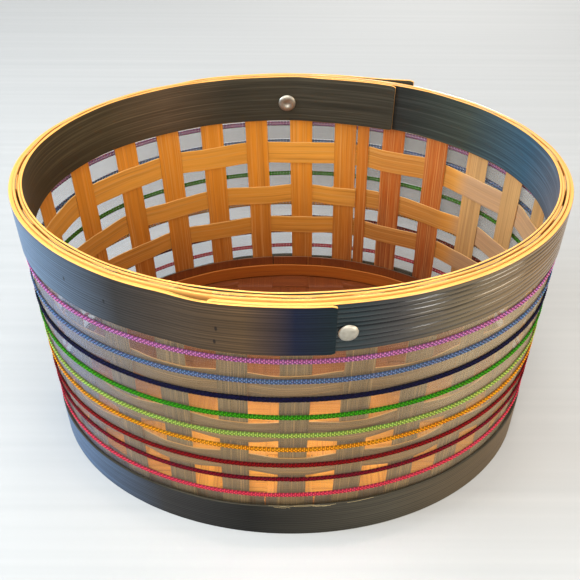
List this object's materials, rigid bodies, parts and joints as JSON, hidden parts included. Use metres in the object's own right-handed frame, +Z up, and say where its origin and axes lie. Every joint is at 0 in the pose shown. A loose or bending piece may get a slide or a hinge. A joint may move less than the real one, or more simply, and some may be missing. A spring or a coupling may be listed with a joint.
{
  "type": "woven basket",
  "caption": "Oval open basket of flat woven splints with stained rim and foot bands, a woven floor, and a wrap of netting with coloured cords.",
  "frame": {"origin": "centre of the basket on the surface it stands on", "axes": "+Z up along the basket's axis; -Y is the front, where the left rim band laps over the right one beside the front rivet"},
  "size_m": [0.28, 0.2225, 0.1616],
  "materials": {
    "stake_splint": "split bamboo, natural inside, grey stained outside",
    "weaver_splint": "split bamboo, natural inside, grey stained outside",
    "rim_core_splint": "natural bamboo, cut edges",
    "inner_band_stain": "dark stained splint, satin",
    "left_band_stain": "grey brown stained splint, satin",
    "right_band_stain": "grey olive stained splint with ridges, satin",
    "foot_band_stain": "charcoal stained splint, satin",
    "foot_hoop_splint": "natural bamboo",
    "floor_splint": "natural bamboo",
    "netting": "fine translucent net",
    "cord_purple": "flat braided cord",
    "cord_blue": "flat braided cord",
    "cord_navy": "flat braided cord",
    "cord_green": "flat braided cord",
    "cord_lime": "flat braided cord",
    "cord_orange": "flat braided cord",
    "cord_dark_red": "flat braided cord",
    "cord_maroon": "flat braided cord",
    "cord_pink": "flat braided cord",
    "rivet": "plain, lightly worn"
  },
  "bodies": {
    "root": {"stake_01": "stake_splint", "stake_02": "stake_splint", "stake_03": "stake_splint", "stake_04": "stake_splint", "stake_05": "stake_splint", "stake_06": "stake_splint", "stake_07": "stake_splint", "stake_08": "stake_splint", "stake_09": "stake_splint", "stake_10": "stake_splint", "stake_11": "stake_splint", "stake_12": "stake_splint", "stake_13": "stake_splint", "stake_14": "stake_splint", "stake_15": "stake_splint", "stake_16": "stake_splint", "stake_17": "stake_splint", "stake_18": "stake_splint", "stake_19": "stake_splint", "stake_20": "stake_splint", "stake_21": "stake_splint", "stake_22": "stake_splint", "stake_23": "stake_splint", "stake_24": "stake_splint", "stake_25": "stake_splint", "stake_26": "stake_splint", "narrow_stake": "stake_splint", "rim_weaver": "rim_core_splint", "upper_weaver": "weaver_splint", "middle_weaver": "weaver_splint", "lower_weaver": "weaver_splint", "rim_band_inner": "inner_band_stain", "rim_band_left": "left_band_stain", "rim_band_right": "right_band_stain", "foot_band": "foot_band_stain", "foot_hoop": "foot_hoop_splint", "woven_floor": "floor_splint", "netting": "netting", "cord_purple": "cord_purple", "cord_blue": "cord_blue", "cord_navy": "cord_navy", "cord_green": "cord_green", "cord_lime": "cord_lime", "cord_orange": "cord_orange", "cord_dark_red": "cord_dark_red", "cord_maroon": "cord_maroon", "cord_pink": "cord_pink", "front_rivet": "rivet", "back_rivet": "rivet"}
  },
  "joints": []
}
